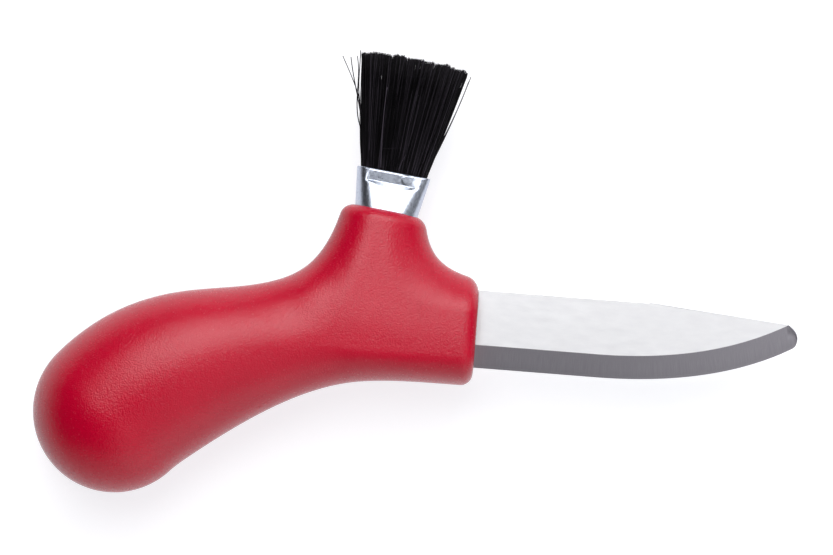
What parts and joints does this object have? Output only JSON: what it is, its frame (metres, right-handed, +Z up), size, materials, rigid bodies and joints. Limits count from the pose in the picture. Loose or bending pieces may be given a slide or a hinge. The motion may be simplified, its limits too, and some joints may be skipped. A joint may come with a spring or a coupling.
{
  "type": "mushroom knife",
  "caption": "Fixed-blade mushroom knife with a short curved blade, a drooping bulb-shaped moulded grip and a flat bristle brush standing on a neck above the front.",
  "frame": {"origin": "middle of the knife's box, on the surface that the knife lies on", "axes": "+X along the blade to its tip, +Y towards the brush, +Z up, square to the blade's flat"},
  "size_m": [0.1598, 0.0972, 0.029],
  "materials": {
    "red_plastic": "satin moulded, fine grain",
    "stainless_steel": "fine satin flats, ground bevel",
    "tinplate": "bright drawn tinplate",
    "black_bristle": "black bristle",
    "resin": "set resin"
  },
  "bodies": {
    "knife": {"handle": "red_plastic", "blade": "stainless_steel", "ferrule": "tinplate", "setting_resin": "resin", "bristle_root": "black_bristle"},
    "bristles": {"bristle_tuft": "black_bristle", "stray_bristle_back_low": "black_bristle", "stray_bristle_back_mid": "black_bristle", "stray_bristle_back_high": "black_bristle", "stray_bristle_front_low": "black_bristle", "stray_bristle_front_high": "black_bristle"}
  },
  "joints": [
    {"name": "bristle_flex", "type": "hinge", "parent": "knife", "child": "bristles", "pos_m": [-0.0082, 0.02307, 0.0145], "axis": [0.994, -0.1097, 0], "range_deg": [-25, 25], "stiffness_Nm_per_rad": 0.08}
  ]
}
